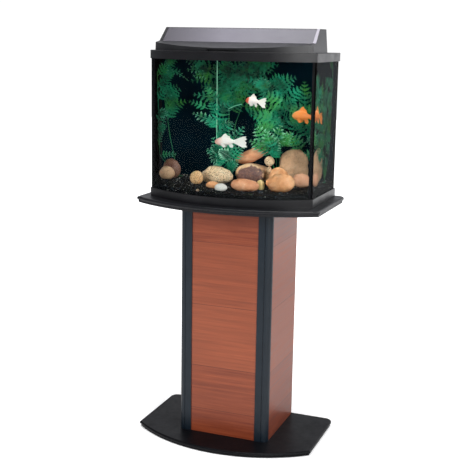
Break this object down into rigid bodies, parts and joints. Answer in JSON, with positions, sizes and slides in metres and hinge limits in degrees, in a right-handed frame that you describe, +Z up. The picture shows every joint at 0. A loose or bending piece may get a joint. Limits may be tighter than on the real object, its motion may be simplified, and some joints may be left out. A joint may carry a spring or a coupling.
{
  "type": "bow-front aquarium with stand and hood",
  "caption": "Bow-front glass aquarium with plastic frames, a hinged lighted hood, a pedestal stand, and gravel, stones and artificial plants inside.",
  "frame": {"origin": "on the floor, at the middle of the whole object in width and in depth", "axes": "+Z up, +X to the right of someone facing the bowed front, -Y towards that person"},
  "size_m": [0.576, 0.389, 1.2503],
  "materials": {
    "frame_plastic": "satin black moulded",
    "hood_plastic": "satin black moulded",
    "fascia_plastic": "smooth dark grey",
    "clear_glass": "polished",
    "black_silicone": "smooth",
    "background_sheet": "deep blue-black film",
    "cherry_laminate": "satin",
    "black_laminate": "satin black",
    "raw_board": "sawn",
    "beech": "turned",
    "zinc_steel": "zinc plated",
    "nylon": "moulded",
    "lamp_glass": "phosphor coated",
    "lamp_metal": "drawn",
    "white_enamel": "gloss white",
    "ballast_paint": "black enamel",
    "lead_insulation": "smooth",
    "clear_plastic": "clear",
    "switch_plastic": "gloss black",
    "grommet_rubber": "moulded",
    "lid_plastic": "satin black moulded",
    "holder_plastic": "moulded white",
    "tan_stone": "weathered",
    "pink_stone": "weathered",
    "dark_stone": "weathered",
    "orange_stone": "weathered",
    "cream_stone": "weathered",
    "mixed_stone": "weathered",
    "black_gravel": "fine",
    "plant_green": "moulded",
    "plant_bright_green": "moulded"
  },
  "bodies": {
    "stand": {"base_plate": "black_laminate", "base_glides": "nylon", "top_plate": "black_laminate", "column_front_panel": "cherry_laminate", "column_side_panel_right": "cherry_laminate", "column_side_panel_left": "cherry_laminate", "front_corner_post_right": "black_laminate", "front_corner_post_left": "black_laminate", "post_dowels": "beech", "back_stretchers": "cherry_laminate", "cam_locks": "zinc_steel", "cam_bolts": "zinc_steel", "shelf": "cherry_laminate", "shelf_pins": "zinc_steel", "cleats": "raw_board", "cleat_screws": "zinc_steel"},
    "tank": {"tank_bottom_frame": "frame_plastic", "tank_top_frame": "frame_plastic", "glass_front": "clear_glass", "glass_back": "clear_glass", "glass_right": "clear_glass", "glass_left": "clear_glass", "glass_floor": "clear_glass", "silicone_seams": "black_silicone", "background_film": "background_sheet", "stone_tan_boulder": "tan_stone", "stone_leaning_slab": "pink_stone", "stone_dark_face": "dark_stone", "stone_orange_flat": "orange_stone", "stone_orange_front": "orange_stone", "stone_speckled_cream": "cream_stone", "stone_pink_flat": "pink_stone", "plant_left": "plant_bright_green", "plant_middle": "plant_bright_green", "plant_tall": "plant_green", "plant_centre_right": "plant_green", "plant_right": "plant_bright_green", "small_stones": "mixed_stone", "gravel_bed": "black_gravel"},
    "hood": {"hood_base": "hood_plastic", "rear_strip": "hood_plastic", "splash_lens": "clear_plastic", "lens_screws": "zinc_steel", "housing_screws": "zinc_steel", "end_cap_right": "hood_plastic", "end_cap_left": "hood_plastic", "fascia_panel": "fascia_plastic", "light_cover": "hood_plastic", "cord_grommet": "grommet_rubber", "switch_bezel": "switch_plastic", "lampholders": "holder_plastic", "reflector": "white_enamel", "ballast": "ballast_paint", "ballast_screws": "zinc_steel", "lamp_leads": "lead_insulation"},
    "lid": {"feeding_lid": "lid_plastic", "lid_hinge_pins": "zinc_steel"},
    "lamp": {"lamp_tube": "lamp_glass", "lamp_caps": "lamp_metal"},
    "switch": {"switch_rocker": "switch_plastic"}
  },
  "joints": [
    {"name": "tank_lift", "type": "slide", "parent": "stand", "child": "tank", "axis": [0, 0, 1], "range_m": [0, 0.2]},
    {"name": "hood_lift", "type": "slide", "parent": "tank", "child": "hood", "axis": [0, 0, 1], "range_m": [0, 0.15]},
    {"name": "lid_hinge", "type": "hinge", "parent": "hood", "child": "lid", "pos_m": [0, -0.0402, 1.20308], "axis": [-1, 0, 0], "range_deg": [0, 105]},
    {"name": "lamp_twist", "type": "hinge", "parent": "hood", "child": "lamp", "pos_m": [0, 0.019, 1.2023], "axis": [1, 0, 0], "range_deg": [0, 90]},
    {"name": "switch_rock", "type": "hinge", "parent": "hood", "child": "switch", "pos_m": [-0.15, 0.07763, 1.2368], "axis": [0, 0, 1], "range_deg": [-18, 0]}
  ]
}
